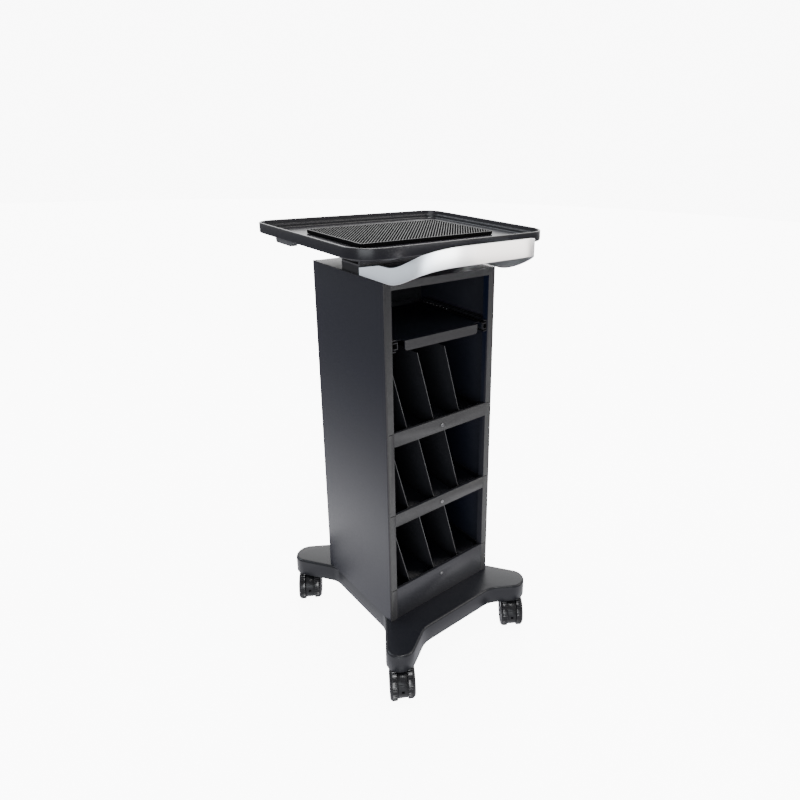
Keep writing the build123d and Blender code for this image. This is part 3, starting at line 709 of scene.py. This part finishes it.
def build_casters():
    """Wheels and hoods of the four casters; gives back the wheels."""
    joints = {joint["name"]: joint for joint in frame["joints"]}
    wheels = []
    for name in CASTERS:
        for label, side in (("a", -1), ("b", 1)):
            joint = joints[f"roll_{name}_{label}"]
            wheels.append(build_wheel(f"wheel_{name}_{label}", Vector(joint["axis"]),
                                      Vector(joint["pos_m"]), side))
        softened(f"hood_{name}", HOOD_EDGE, [MATERIALS["caster_black"]])
    return wheels


# ---------------------------------------------------------------- cabinet

FOLD_R, FOLD_STEPS, BURR, HOLE_FACET = 2.0 * MM, 4, 0.25 * MM, 1.5 * MM
SHELF_EDGE, ROOF_EDGE, DIVIDER_EDGE, BASE_EDGE = 0.5 * MM, 0.4 * MM, 0.3 * MM, 0.6 * MM
# How close to an outside plane a face or an edge has to be to belong to it.
NEAR_SKIN, NEAR_EDGE, NEAR_CORNER, NEAR_ROOF = 1 * MM, 0.5 * MM, 0.1 * MM, 0.2 * MM
FOLD_LEAST, FACING = 100 * MM, 0.5
# Material numbers: outside faces, inside faces in painted shade, front faces in painted light.
OUTSIDE, INSIDE, FRONT = 0, 1, 2


def build_cabinet():
    """Folded sheets: round outside folds, barely broken cut edges; inside faces dark, partly black paint and
    partly painted shade; front faces lighter, painted light.
    """
    low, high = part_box("side_panel_left")
    front, back = low.y, high.y
    half_w = -low.x

    def side_pick(face):
        at, turned = face.calc_center_median(), face.normal
        if abs(turned.x) > FACING:
            outer = turned.x * at.x > 0 and abs(at.x) > half_w - NEAR_SKIN
            return OUTSIDE if outer else INSIDE
        if turned.y < -FACING:
            return FRONT if at.y < front + NEAR_EDGE else INSIDE
        if turned.y > FACING:
            return OUTSIDE if at.y > back - NEAR_EDGE else INSIDE
        return OUTSIDE

    def front_pick(face):
        return FRONT if face.calc_center_median().y < front + NEAR_SKIN else INSIDE

    def roof_pick(face):
        outer = face.calc_center_median().z > high.z - NEAR_ROOF
        return OUTSIDE if outer else front_pick(face)

    def divider_pick(face):
        # Front faces take the light grey painted highlight.
        return 1 if face.normal.y < -FACING else 0

    def fold(edge):
        a, b = (v.co for v in edge.verts)
        upright = abs(a.z - b.z) > FOLD_LEAST
        corner = abs(abs(a.x) - half_w) < NEAR_CORNER and (
            abs(a.y - front) < NEAR_CORNER or abs(a.y - back) < NEAR_CORNER)
        return 1.0 if upright and corner else BURR / FOLD_R

    grey, black, front_painted_light = (
        MATERIALS[name] for name in ("cabinet_grey", "inner_black", "front_painted_light"))
    for side in ("left", "right"):
        # Inside faces of the side panels take a navy painted shade; front faces take a lighter grey, painted
        # light.
        softened(f"side_panel_{side}", FOLD_R, [grey, MATERIALS["inside_painted_shade"], front_painted_light],
                 side_pick, fold, FOLD_STEPS)
    for shelf in SHELVES:
        # Every rail but the bottom one takes the lighter front grey, painted light.
        rail = grey if shelf == "shelf_bottom" else front_painted_light
        softened(shelf, SHELF_EDGE, [grey, black, rail], front_pick, shortest=HOLE_FACET)
    softened("top_panel", ROOF_EDGE, [grey, black, front_painted_light], roof_pick)
    softened("pull_shelf", SHELF_EDGE, [grey, black, front_painted_light], front_pick)
    for shelf in SHELVES:
        for i in (1, 2, 3):
            softened(shelf.replace("shelf", "divider") + f"_{i}", DIVIDER_EDGE,
                     [black, MATERIALS["divider_front_highlight"]], divider_pick)


def main():
    """Materials for the CAD pieces that stay, then the detailed pieces, camera and studio."""
    for name, piece in frame["nodes"].items():
        for slot in piece.material_slots:
            slot.material = MATERIALS[SLOT_OF[name]]
    build_tray()
    build_mat()
    handle = build_handle()
    wheels = build_casters()
    build_cabinet()
    softened("base_shell", BASE_EDGE, [MATERIALS["base_grey"]])
    add_camera()
    add_studio(handle, wheels)


main()
